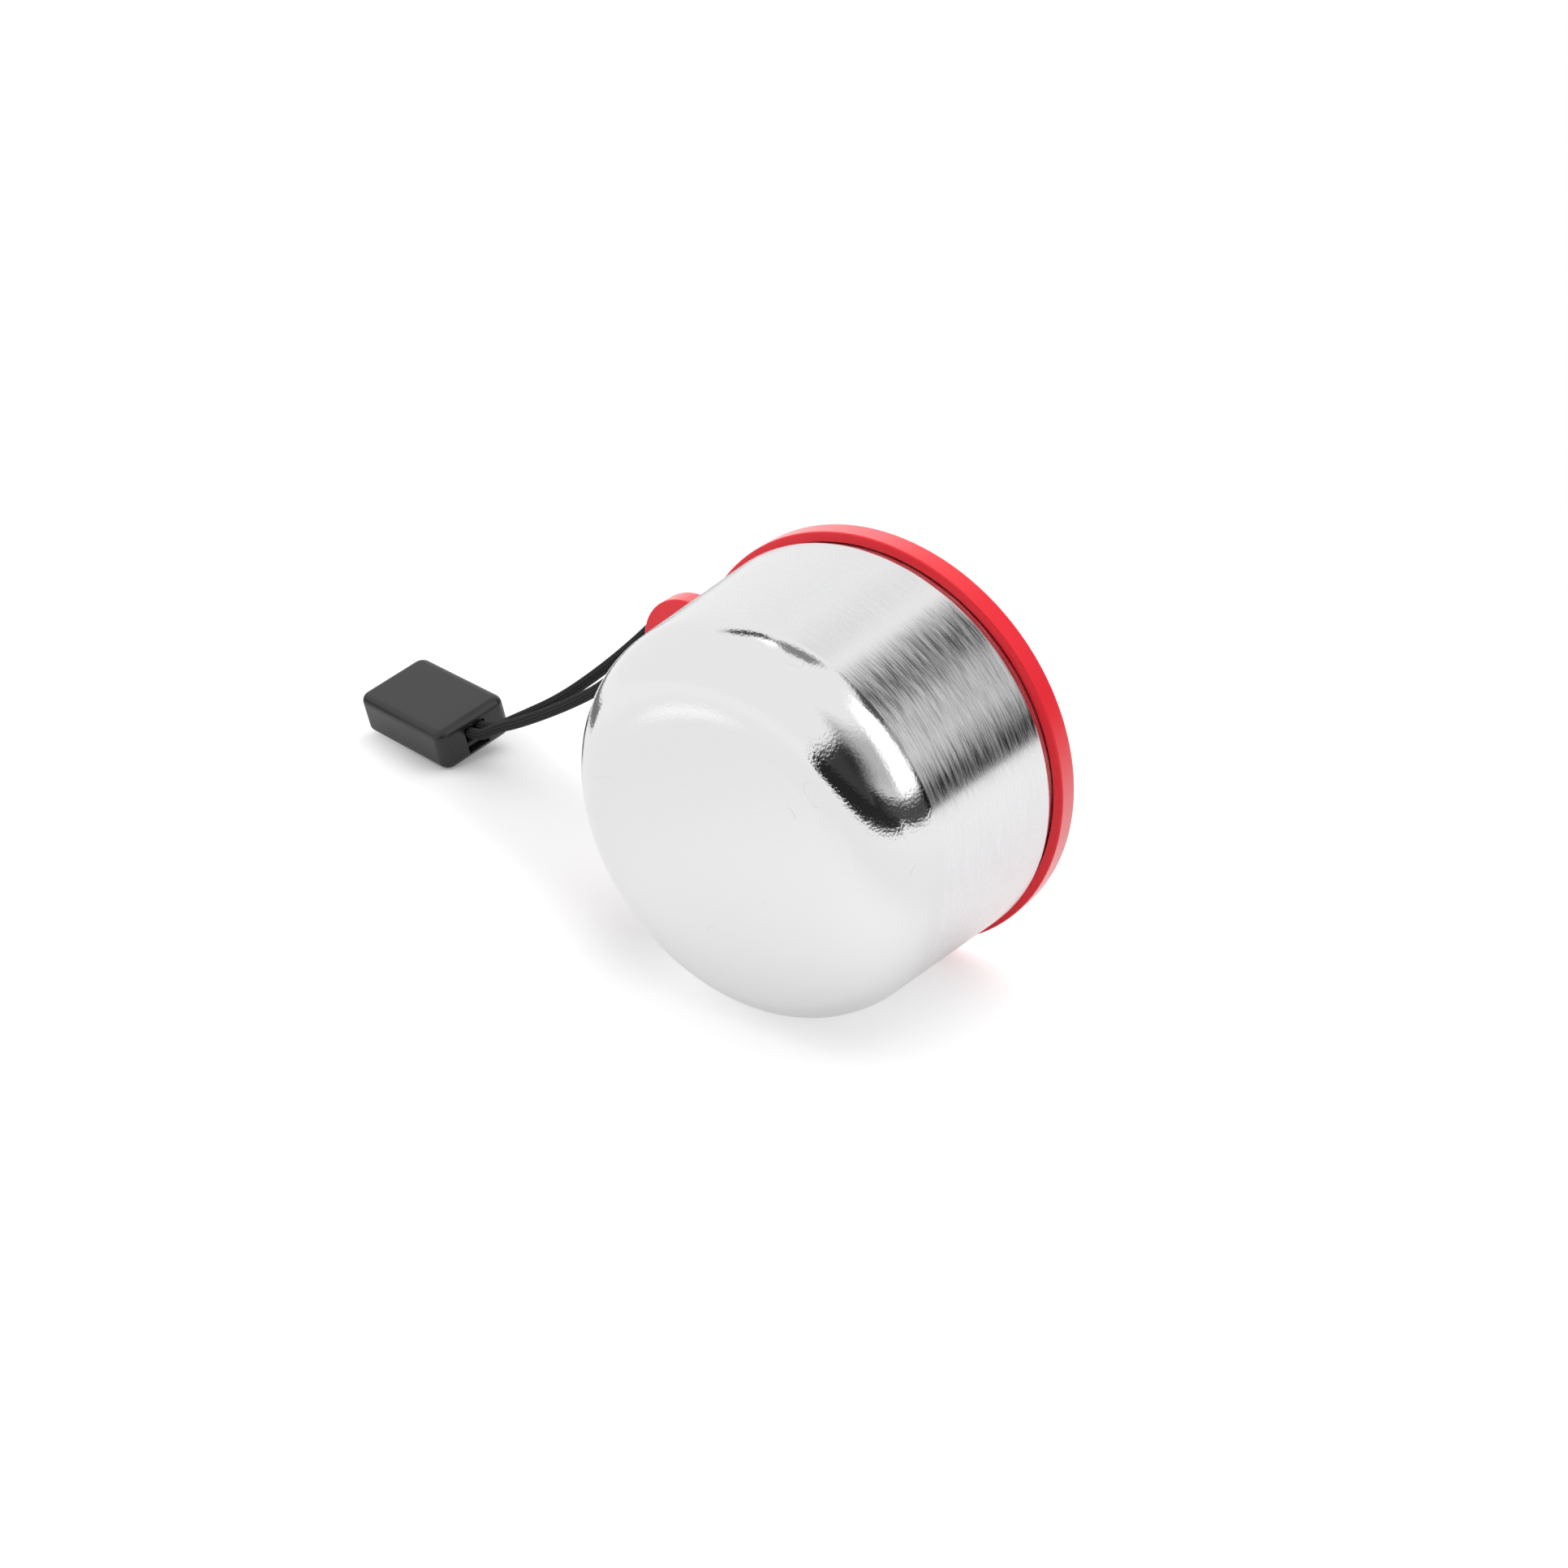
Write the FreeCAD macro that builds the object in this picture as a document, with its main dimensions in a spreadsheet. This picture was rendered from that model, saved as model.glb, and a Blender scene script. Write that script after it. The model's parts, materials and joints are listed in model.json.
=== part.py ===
import FreeCAD, Part
import Sketcher
import math
import os

# A round drawn-steel lunch container lying on its side, with a press-on plastic lid. An ear on the
# lid carries a braided cord loop, and the cord ends in a moulded tag that rests on the floor.
# Millimetres and degrees. +Z is up, +Y runs from the container's base towards its lid.

doc = FreeCAD.newDocument("lunch_container")
sheet = doc.addObject("Spreadsheet::Sheet", "Sizes")

SIZES = (
    ("steel_thickness", 0.6, "sheet of the drawn body"),
    ("foot_diameter", 85.4, "wall carried down to the base plane, before the corner is rounded"),
    ("shoulder_diameter", 91.4, "wall at its widest, just below the lid"),
    ("neck_diameter", 89.2, "straight neck that the lid goes over"),
    ("rim_height", 54.2, "from the base to the open rim"),
    ("neck_length", 4.6, "from the open rim down to the foot of the neck"),
    ("shoulder_drop", 1.4, "from the foot of the neck down to the widest part of the wall"),
    ("base_corner_radius", 14.5, "outside of the rounded base corner"),
    ("shoulder_radius", 1.5, "rounding of the shoulder and of the foot of the neck"),
    ("rim_radius", 0.2, "rounding of the open rim"),
    ("lid_diameter", 94.0, "outside of the lid's skirt"),
    ("lid_overlap", 3.4, "from the open rim down to the skirt's lower face"),
    ("skirt_height", 5.2, "height of the skirt and of the ear"),
    ("mouth_clearance", 0.3, "skirt to neck, on the radius"),
    ("rim_clearance", 0.4, "steel rim to the lid's ceiling"),
    ("plug_clearance", 0.8, "plug ring to the inside of the neck, on the radius"),
    ("plug_wall", 2.4, "plug ring's wall"),
    ("plug_depth", 4.4, "plug ring below the skirt's lower face"),
    ("panel_thickness", 1.4, "lid's centre panel"),
    ("panel_recess", 0.8, "centre panel below the lid's upper rim"),
    ("panel_diameter", 78.0, "recessed centre panel"),
    ("lid_edge_radius", 0.9, "rounding of the lid's upper outer edge"),
    ("skirt_edge_radius", 0.35, "rounding of the skirt's lower outer edge"),
    ("gasket_depth", 0.9, "gasket groove in the plug ring"),
    ("gasket_width", 2.8, "gasket groove along the axis"),
    ("gasket_drop", 3.6, "from the open rim down to the gasket groove's lower side"),
    ("gasket_clearance", 0.25, "gasket to the inside of the neck, on the radius"),
    ("gasket_seat", 0.05, "gasket to its groove"),
    ("gasket_rounding", 0.5, "rounding of the gasket's outer edges"),
    ("ear_radius", 12.3, "round end of the ear"),
    ("ear_reach", 2.0, "from the skirt out to the centre of the ear's round end"),
    ("ear_blend", 2.5, "rounding where the ear runs into the skirt"),
    ("ear_hole_diameter", 7.0, "hole that the cord passes through"),
    ("ear_hole_reach", 6.5, "from the skirt out to the hole's centre"),
    ("ear_turn", 11.0, "ear above the horizontal, as the container lies"),
    ("cord_diameter", 2.8, "braided cord"),
    ("strand_spacing", 3.2, "between the cord's two ends in the tag's slot"),
    ("strand_height", 0.9, "cord's ends above the tag's middle"),
    ("strand_lead", 2.6, "cord straight in front of the tag's end"),
    ("tag_length", 34.5, "tag along the cord"),
    ("tag_width", 21.8, "tag across the cord"),
    ("tag_thickness", 11.3, "tag between its broad faces"),
    ("tag_corner_radius", 3.0, "tag's four corners, seen on its broad face"),
    ("tag_edge_radius", 2.2, "edges of the tag's broad faces"),
    ("slot_width", 6.6, "slot in the tag's end, across"),
    ("slot_height", 7.2, "slot in the tag's end, between the broad faces"),
    ("slot_depth", 8.0, "slot into the tag's end"),
    ("slot_drop", 0.4, "slot's centre below the tag's middle"),
    ("pin_diameter", 2.2, "crossbar in the slot"),
    ("pin_inset", 2.4, "crossbar behind the tag's end"),
    ("pin_drop", 2.7, "crossbar below the tag's middle"),
    ("pin_seat", 1.8, "crossbar's ends in the slot's side walls"),
    ("tag_x", -143.2, "tag's middle, sideways from the origin"),
    ("tag_y", 42.9, "tag's middle, along the container from the origin"),
    ("tag_yaw", -8.9, "tag's length turned about the vertical"),
    ("tag_pitch", 2.2, "tag's slotted end tipped down"),
    ("tag_roll", 14.6, "tag rolled on to its lower long edge by the cord"),
)
for row, (alias, value, note) in enumerate(SIZES, 1):
    sheet.set("A%d" % row, note)
    sheet.set("B%d" % row, str(value))
    sheet.setAlias("B%d" % row, alias)
doc.recompute()


def size(alias):
    return float(sheet.get(alias))


def origin_plane(body, role):
    return [feature for feature in body.Origin.OriginFeatures if feature.Role == role][0]


def new_sketch(body, name, role):
    sketch = body.newObject("Sketcher::SketchObject", name)
    sketch.AttachmentSupport = [(origin_plane(body, role), "")]
    sketch.MapMode = "FlatFace"
    return sketch


def bind(sketch, kind, *where_and_expression):
    """Add a dimension to a sketch and bind it to the sheet; an empty expression puts a point on its axis."""
    where = where_and_expression[:-1]
    expression = where_and_expression[-1]
    if expression == "":
        axis = -2 if kind == "DistanceX" else -1
        sketch.addConstraint(Sketcher.Constraint("PointOnObject", *where, axis))
        return
    start = 10.0 + sketch.ConstraintCount
    index = sketch.addConstraint(Sketcher.Constraint(kind, *where, start))
    sketch.setExpression("Constraints[%d]" % index, expression)


def outline(body, name, role, corners):
    """A closed outline of straight sides; each corner is a pair of expressions for its two coordinates."""
    sketch = new_sketch(body, name, role)
    count = len(corners)
    spread = 40.0
    start = [FreeCAD.Vector(2 * spread + spread * math.cos(2 * math.pi * k / count),
                            2 * spread + spread * math.sin(2 * math.pi * k / count), 0) for k in range(count)]
    for k in range(count):
        sketch.addGeometry(Part.LineSegment(start[k], start[(k + 1) % count]))
    for k in range(count):
        sketch.addConstraint(Sketcher.Constraint("Coincident", k, 2, (k + 1) % count, 1))
    for k, (across, along) in enumerate(corners):
        bind(sketch, "DistanceX", k, 1, across)
        bind(sketch, "DistanceY", k, 1, along)
    return sketch


def turn(body, kind, name, corners):
    """Turn an outline about the body's Z axis, to add (Revolution) or to cut (Groove)."""
    sketch = outline(body, name + "_outline", "XZ_Plane", corners)
    feature = body.newObject("PartDesign::" + kind, name)
    feature.Profile = sketch
    feature.ReferenceAxis = (sketch, ["V_Axis"])
    feature.Angle = 360
    doc.recompute()
    return feature


def round_edges(body, name, base, wanted, radius):
    """Round the edges of a feature that a test picks, with a radius from the sheet."""
    edges = ["Edge%d" % (k + 1) for k, edge in enumerate(base.Shape.Edges) if wanted(edge)]
    feature = body.newObject("PartDesign::Fillet", name)
    feature.Base = (base, edges)
    feature.setExpression("Radius", radius)
    doc.recompute()
    return feature


TOUCH = 0.01


def is_ring(edge, radius, height):
    """True for a full circle about the Z axis with this radius at this height."""
    circle = edge.Curve
    if circle.TypeId != "Part::GeomCircle":
        return False
    return abs(circle.Radius - radius) < TOUCH and abs(circle.Center.z - height) < TOUCH


def level_at(edge, height):
    return abs(edge.BoundBox.ZMin - height) < TOUCH and abs(edge.BoundBox.ZMax - height) < TOUCH


# Steel body: one drawn shell with a flat base, a large rounded corner, a slightly flared wall and a
# narrower neck that ends in the open rim.
steel = doc.addObject("PartDesign::Body", "steel_body")
inside = " - Sizes.steel_thickness"
neck_foot = "Sizes.rim_height - Sizes.neck_length"
widest = neck_foot + " - Sizes.shoulder_drop"
shell = turn(steel, "Revolution", "shell", (
    ("", ""),
    ("Sizes.foot_diameter / 2", ""),
    ("Sizes.shoulder_diameter / 2", widest),
    ("Sizes.neck_diameter / 2", neck_foot),
    ("Sizes.neck_diameter / 2", "Sizes.rim_height"),
    ("Sizes.neck_diameter / 2" + inside, "Sizes.rim_height"),
    ("Sizes.neck_diameter / 2" + inside, neck_foot),
    ("Sizes.shoulder_diameter / 2" + inside, widest),
    ("Sizes.foot_diameter / 2" + inside, "Sizes.steel_thickness"),
    ("", "Sizes.steel_thickness"),
))
foot = size("foot_diameter") / 2
neck = size("neck_diameter") / 2
shoulder = size("shoulder_diameter") / 2
wall = size("steel_thickness")
neck_foot_height = size("rim_height") - size("neck_length")
shoulder_height = neck_foot_height - size("shoulder_drop")
corner = round_edges(steel, "base_corner", shell, lambda edge: is_ring(edge, foot, 0),
                     "Sizes.base_corner_radius")
corner = round_edges(steel, "base_corner_inside", corner, lambda edge: is_ring(edge, foot - wall, wall),
                     "Sizes.base_corner_radius - Sizes.steel_thickness")
bends = ((shoulder, shoulder_height), (neck, neck_foot_height))
corner = round_edges(steel, "shoulder_bends", corner,
                     lambda edge: any(is_ring(edge, radius, height) for radius, height in bends),
                     "Sizes.shoulder_radius")
round_edges(steel, "rim_edge", corner,
            lambda edge: any(is_ring(edge, radius, size("rim_height")) for radius in (neck, neck - wall)),
            "Sizes.rim_radius")

# Lid: one red moulding with a skirt over the neck, a plug ring inside it that holds the gasket, a
# recessed panel and an ear. It is modelled in place over the body, with the ear along +X.
lid = doc.addObject("PartDesign::Body", "lid_shell")
mouth = "Sizes.neck_diameter / 2 + Sizes.mouth_clearance"
plug = "Sizes.neck_diameter / 2 - Sizes.steel_thickness - Sizes.plug_clearance"
lid_seat = "Sizes.rim_height - Sizes.lid_overlap"
plug_foot = lid_seat + " - Sizes.plug_depth"
lid_top = lid_seat + " + Sizes.skirt_height"
panel_top = lid_top + " - Sizes.panel_recess"
ceiling = "Sizes.rim_height + Sizes.rim_clearance"
blank = turn(lid, "Revolution", "blank", (
    ("", plug_foot),
    (plug, plug_foot),
    (plug, lid_seat),
    ("Sizes.lid_diameter / 2", lid_seat),
    ("Sizes.lid_diameter / 2", lid_top),
    ("", lid_top),
))

ear_sketch = new_sketch(lid, "ear_outline", "XY_Plane")
ear_sketch.setExpression("AttachmentOffset.Base.z", lid_seat)
rim_radius = size("lid_diameter") / 2
reach = rim_radius + size("ear_reach")
ear = size("ear_radius")
root = reach - ear
corners = (FreeCAD.Vector(root, -ear, 0), FreeCAD.Vector(reach, -ear, 0),
           FreeCAD.Vector(reach, ear, 0), FreeCAD.Vector(root, ear, 0))
ear_sketch.addGeometry(Part.LineSegment(corners[0], corners[1]))
round_end = Part.Circle(FreeCAD.Vector(reach, 0, 0), FreeCAD.Vector(0, 0, 1), ear)
ear_sketch.addGeometry(Part.ArcOfCircle(round_end, -math.pi / 2, math.pi / 2))
ear_sketch.addGeometry(Part.LineSegment(corners[2], corners[3]))
ear_sketch.addGeometry(Part.LineSegment(corners[3], corners[0]))
ear_sketch.addConstraint(Sketcher.Constraint("Tangent", 0, 2, 1, 1))
ear_sketch.addConstraint(Sketcher.Constraint("Tangent", 1, 2, 2, 1))
ear_sketch.addConstraint(Sketcher.Constraint("Coincident", 2, 2, 3, 1))
ear_sketch.addConstraint(Sketcher.Constraint("Coincident", 3, 2, 0, 1))
ear_sketch.addConstraint(Sketcher.Constraint("Horizontal", 0))
ear_sketch.addConstraint(Sketcher.Constraint("Vertical", 3))
ear_sketch.addConstraint(Sketcher.Constraint("PointOnObject", 1, 3, -1))
ear_centre = "Sizes.lid_diameter / 2 + Sizes.ear_reach"
bind(ear_sketch, "DistanceX", 1, 3, ear_centre)
bind(ear_sketch, "Radius", 1, "Sizes.ear_radius")
bind(ear_sketch, "DistanceX", 0, 1, ear_centre + " - Sizes.ear_radius")
ear_pad = lid.newObject("PartDesign::Pad", "ear")
ear_pad.Profile = ear_sketch
ear_pad.setExpression("Length", "Sizes.skirt_height")
doc.recompute()

seat = size("rim_height") - size("lid_overlap")
top = seat + size("skirt_height")


def is_upright(edge):
    box = edge.BoundBox
    return abs(box.ZLength - size("skirt_height")) < TOUCH and box.XLength < TOUCH and box.YLength < TOUCH


def joins_ear(edge):
    """True for the two upright edges where the ear's flanks meet the skirt."""
    middle = edge.BoundBox.Center
    on_skirt = abs(math.hypot(middle.x, middle.y) - rim_radius) < TOUCH
    return is_upright(edge) and on_skirt and abs(abs(middle.y) - ear) < TOUCH


def on_outside(edge, height):
    """True for the edges of the lid's outer outline, ear included, at one height."""
    ends = [math.hypot(vertex.X, vertex.Y) for vertex in edge.Vertexes]
    return level_at(edge, height) and min(ends) > rim_radius - TOUCH


ear_pad = round_edges(lid, "ear_blends", ear_pad, joins_ear, "Sizes.ear_blend")
lid_edge = round_edges(lid, "lid_edge", ear_pad, lambda edge: on_outside(edge, top), "Sizes.lid_edge_radius")
round_edges(lid, "skirt_edge", lid_edge, lambda edge: on_outside(edge, seat), "Sizes.skirt_edge_radius")
groove_floor = plug + " - Sizes.gasket_depth"
groove_low = "Sizes.rim_height - Sizes.gasket_drop"
groove_high = groove_low + " + Sizes.gasket_width"
turn(lid, "Groove", "rim_channel", (
    (plug, plug_foot),
    (mouth, plug_foot),
    (mouth, ceiling),
    (plug, ceiling),
))
turn(lid, "Groove", "plug_hollow", (
    ("", plug_foot),
    (plug + " - Sizes.plug_wall", plug_foot),
    (plug + " - Sizes.plug_wall", panel_top + " - Sizes.panel_thickness"),
    ("", panel_top + " - Sizes.panel_thickness"),
))
turn(lid, "Groove", "gasket_groove", (
    (groove_floor, groove_low),
    (mouth, groove_low),
    (mouth, groove_high),
    (groove_floor, groove_high),
))
turn(lid, "Groove", "panel_recess", (
    ("", panel_top),
    ("Sizes.panel_diameter / 2", panel_top),
    ("Sizes.panel_diameter / 2", lid_top),
    ("", lid_top),
))
hole_sketch = new_sketch(lid, "ear_hole_outline", "XY_Plane")
hole_sketch.setExpression("AttachmentOffset.Base.z", lid_top)
hole_sketch.addGeometry(Part.Circle(FreeCAD.Vector(reach, 0, 0), FreeCAD.Vector(0, 0, 1), wall))
hole_sketch.addConstraint(Sketcher.Constraint("PointOnObject", 0, 3, -1))
bind(hole_sketch, "DistanceX", 0, 3, "Sizes.lid_diameter / 2 + Sizes.ear_hole_reach")
bind(hole_sketch, "Diameter", 0, "Sizes.ear_hole_diameter")
ear_hole = lid.newObject("PartDesign::Pocket", "ear_hole")
ear_hole.Profile = hole_sketch
ear_hole.setExpression("Length", "Sizes.skirt_height")
doc.recompute()

# Gasket: a soft ring in the plug ring's groove that presses on the inside of the neck.
gasket = doc.addObject("PartDesign::Body", "lid_gasket")
gasket_inner = groove_floor + " + Sizes.gasket_seat"
gasket_outer = "Sizes.neck_diameter / 2 - Sizes.steel_thickness - Sizes.gasket_clearance"
gasket_low = groove_low + " + Sizes.gasket_seat"
gasket_high = groove_high + " - Sizes.gasket_seat"
ring = turn(gasket, "Revolution", "ring", (
    (gasket_inner, gasket_low),
    (gasket_outer, gasket_low),
    (gasket_outer, gasket_high),
    (gasket_inner, gasket_high),
))
seal = neck - wall - size("gasket_clearance")
groove_height = size("rim_height") - size("gasket_drop")
seal_heights = (groove_height + size("gasket_seat"),
                groove_height + size("gasket_width") - size("gasket_seat"))
round_edges(gasket, "ring_edges", ring, lambda edge: any(is_ring(edge, seal, z) for z in seal_heights),
            "Sizes.gasket_rounding")

# Tag: a moulded block with rounded edges. Its end towards the container has a slot, and a crossbar
# in the slot traps the ends of the cord. It is modelled about its middle, with the slot at +X.
tag = doc.addObject("PartDesign::Body", "tag_body")
plan = new_sketch(tag, "tag_outline", "XY_Plane")
half = (size("tag_length") / 2, size("tag_width") / 2)
signs = ((-1, -1), (1, -1), (1, 1), (-1, 1))
points = [FreeCAD.Vector(half[0] * a, half[1] * b, 0) for a, b in signs]
for k in range(len(points)):
    plan.addGeometry(Part.LineSegment(points[k], points[(k + 1) % len(points)]))
for k in range(len(points)):
    plan.addConstraint(Sketcher.Constraint("Coincident", k, 2, (k + 1) % len(points), 1))
for k in (0, 2):
    plan.addConstraint(Sketcher.Constraint("Horizontal", k))
    plan.addConstraint(Sketcher.Constraint("Vertical", k + 1))
plan.addConstraint(Sketcher.Constraint("Symmetric", 0, 1, 2, 1, -1, 1))
bind(plan, "DistanceX", 0, 1, 0, 2, "Sizes.tag_length")
bind(plan, "DistanceY", 1, 1, 1, 2, "Sizes.tag_width")
block = tag.newObject("PartDesign::Pad", "block")
block.Profile = plan
block.Midplane = True
block.setExpression("Length", "Sizes.tag_thickness")
doc.recompute()
half_thickness = size("tag_thickness") / 2
block = round_edges(tag, "corners", block, lambda edge: edge.BoundBox.ZLength > half_thickness,
                    "Sizes.tag_corner_radius")
block = round_edges(tag, "edges", block,
                    lambda edge: level_at(edge, half_thickness) or level_at(edge, -half_thickness),
                    "Sizes.tag_edge_radius")


def tag_cut(name, role, offset, length, midplane):
    """Start a pocket in the tag on one of its middle planes, moved out by an expression."""
    sketch = new_sketch(tag, name + "_outline", role)
    if offset:
        sketch.setExpression("AttachmentOffset.Base.z", offset)
    pocket = tag.newObject("PartDesign::Pocket", name)
    pocket.Profile = sketch
    pocket.Midplane = midplane
    pocket.setExpression("Length", length)
    return sketch


slot_sketch = tag_cut("slot", "YZ_Plane", "Sizes.tag_length / 2", "Sizes.slot_depth", False)
slot_half = (size("slot_width") / 2, size("slot_height") / 2)
slot_drop = size("slot_drop")
points = [FreeCAD.Vector(slot_half[0] * a, slot_half[1] * b - slot_drop, 0) for a, b in signs]
for k in range(len(points)):
    slot_sketch.addGeometry(Part.LineSegment(points[k], points[(k + 1) % len(points)]))
for k in range(len(points)):
    slot_sketch.addConstraint(Sketcher.Constraint("Coincident", k, 2, (k + 1) % len(points), 1))
slot_sketch.addConstraint(Sketcher.Constraint("Horizontal", 0))
slot_sketch.addConstraint(Sketcher.Constraint("Vertical", 1))
slot_sketch.addConstraint(Sketcher.Constraint("Vertical", 3))
slot_sketch.addConstraint(Sketcher.Constraint("Symmetric", 2, 1, 2, 2, -2))
bind(slot_sketch, "DistanceX", 0, 1, 0, 2, "Sizes.slot_width")
bind(slot_sketch, "DistanceY", 1, 1, 1, 2, "Sizes.slot_height")
bind(slot_sketch, "DistanceY", 2, 1, "Sizes.slot_height / 2 - Sizes.slot_drop")
doc.recompute()

pin_x = size("tag_length") / 2 - size("pin_inset")
pin_z = -size("pin_drop")
seat_sketch = tag_cut("pin_seats", "XZ_Plane", "", "Sizes.slot_width + 2 * Sizes.pin_seat", True)
seat_sketch.addGeometry(Part.Circle(FreeCAD.Vector(pin_x, pin_z, 0), FreeCAD.Vector(0, 0, 1), wall))
bind(seat_sketch, "DistanceX", 0, 3, "Sizes.tag_length / 2 - Sizes.pin_inset")
bind(seat_sketch, "DistanceY", 0, 3, "-Sizes.pin_drop")
bind(seat_sketch, "Diameter", 0, "Sizes.pin_diameter")
doc.recompute()

# Crossbar: a short pin across the tag's slot, its ends held in the slot's side walls.
pin = doc.addObject("Part::Cylinder", "tag_pin")
pin.setExpression("Radius", "Sizes.pin_diameter / 2")
pin.setExpression("Height", "Sizes.slot_width + 2 * Sizes.pin_seat")
doc.recompute()

# The container lies on its side on the lid's skirt and the base corner, so its axis climbs towards
# the lid. The floor line runs through the skirt's lower edge and touches the corner's arc.
flare = (shoulder - foot) / shoulder_height
round_radius = size("base_corner_radius")
arc_centre = foot + flare * round_radius - round_radius * math.hypot(1, flare)
run = seat - round_radius + size("skirt_edge_radius")
rise = (rim_radius - size("skirt_edge_radius")) - arc_centre
spread = round_radius - size("skirt_edge_radius")
tilt = math.atan2(rise, run) - math.asin(spread / math.hypot(run, rise))
lying = FreeCAD.Rotation(FreeCAD.Vector(1, 0, 0), math.degrees(tilt) - 90)
turned = FreeCAD.Rotation(FreeCAD.Vector(0, 0, 1), 180 + size("ear_turn"))
steel.Placement = FreeCAD.Placement(FreeCAD.Vector(), lying)
lid.Placement = FreeCAD.Placement(FreeCAD.Vector(), lying * turned)
gasket.Placement = FreeCAD.Placement(FreeCAD.Vector(), lying)
doc.recompute()
container = (steel, lid, gasket)
outer = FreeCAD.BoundBox()
for piece in container:
    outer.add(piece.Shape.optimalBoundingBox(False, False))
# The origin is on the floor, under the middle of the container.
home = FreeCAD.Vector(-outer.Center.x, -outer.Center.y, -outer.ZMin)
for piece in container:
    piece.Placement = FreeCAD.Placement(home, piece.Placement.Rotation)
doc.recompute()

# The tag lies on the floor on its lower long edge.
posed = FreeCAD.Rotation(size("tag_yaw"), size("tag_pitch"), size("tag_roll"))
tag.Placement = FreeCAD.Placement(FreeCAD.Vector(), posed)
doc.recompute()
lowest = tag.Shape.optimalBoundingBox(False, False).ZMin
tag.Placement = FreeCAD.Placement(FreeCAD.Vector(size("tag_x"), size("tag_y"), -lowest), posed)
across = FreeCAD.Rotation(FreeCAD.Vector(1, 0, 0), -90)
half_pin = size("slot_width") / 2 + size("pin_seat")
in_tag = FreeCAD.Placement(FreeCAD.Vector(pin_x, -half_pin, pin_z), across)
pin.Placement = tag.Placement.multiply(in_tag)
doc.recompute()

# Cord: one loop, from the tag's slot up to the ear, through its hole and back down to the slot. The
# corners of its path between the tag and the ear; its two ends stop at the slot's back wall.
FRONT_STRAND = (
    (-115.0, 36.0, 13.8),
    (-104.2, 32.9, 19.0),
    (-86.3, 28.1, 29.0),
    (-70.7, 23.9, 38.8),
    (-62.3, 21.3, 45.6),
    (-54.8, 19.5, 52.8),
)
FOLD = (
    (-46.9, 19.3, 57.0),
    (-44.4, 23.7, 56.9),
    (-46.8, 27.9, 57.8),
)
BACK_STRAND = (
    (-54.3, 28.0, 59.2),
    (-63.3, 29.8, 50.8),
    (-76.4, 32.4, 39.7),
    (-93.1, 35.7, 27.0),
    (-109.8, 38.9, 16.9),
)
lead = size("tag_length") / 2 + size("strand_lead")
back_wall = size("tag_length") / 2 - size("slot_depth")
side = size("strand_spacing") / 2
level = size("strand_height")
front_end = [tag.Placement.multVec(FreeCAD.Vector(x, -side, level)) for x in (back_wall, lead)]
back_end = [tag.Placement.multVec(FreeCAD.Vector(x, side, level)) for x in (lead, back_wall)]
ROUTE = front_end + [FreeCAD.Vector(*point) for point in FRONT_STRAND + FOLD + BACK_STRAND] + back_end


def cord_path(stops, share=0.45):
    """Straight runs joined by tangent arcs, each arc as large as its two runs allow."""
    edges = []
    radii = []
    last = stops[0]
    for before, here, after in zip(stops, stops[1:], stops[2:]):
        back = (before - here)
        ahead = (after - here)
        cut = share * min(back.Length, ahead.Length)
        turn_angle = math.pi - back.getAngle(ahead)
        radius = cut / math.tan(turn_angle / 2)
        radii.append(radius)
        back.normalize()
        ahead.normalize()
        middle = back + ahead
        middle.normalize()
        start = here + back * cut
        end = here + ahead * cut
        inner = here + middle * (radius / math.cos(turn_angle / 2) - radius)
        edges.append(Part.LineSegment(last, start).toShape())
        edges.append(Part.Arc(start, inner, end).toShape())
        last = end
    edges.append(Part.LineSegment(last, stops[-1]).toShape())
    return Part.Wire(edges), radii


path, radii = cord_path(ROUTE)
cord_radius = size("cord_diameter") / 2
section = Part.Wire([Part.Circle(ROUTE[0], ROUTE[1] - ROUTE[0], cord_radius).toShape()])
cord = doc.addObject("Part::Feature", "cord")
cord.Shape = path.makePipeShell([section], True, False)
cord.Placement = FreeCAD.Placement()
tube = math.pi * cord_radius ** 2 * path.Length
print("cord length %.1f, volume %.1f of %.1f" % (path.Length, cord.Shape.Volume, tube))
print("cord radii", [round(radius, 1) for radius in radii])
print("cord ends", [[round(value, 2) for value in point] for point in front_end + back_end])
pieces = (steel, lid, gasket, cord, tag, pin)

for item in doc.Objects:
    if "Invalid" in item.State or "Error" in item.State:
        raise RuntimeError("%s did not build: %s" % (item.Name, item.State))
os.makedirs("parts", exist_ok=True)
for piece in pieces:
    shape = piece.Shape
    if shape.isNull() or not shape.isValid() or not shape.Solids:
        raise RuntimeError("%s has no sound shape" % piece.Label)
    box = shape.optimalBoundingBox(False, False)
    print("%-12s volume %9.1f  box %s %s" % (
        piece.Label, shape.Volume,
        [round(value, 2) for value in (box.XMin, box.YMin, box.ZMin)],
        [round(value, 2) for value in (box.XMax, box.YMax, box.ZMax)]))
    shape.exportStep("parts/%s.step" % piece.Label)
print("axis tilt %.3f degrees" % math.degrees(tilt))
print("container moved by", [round(value, 3) for value in home])
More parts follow.
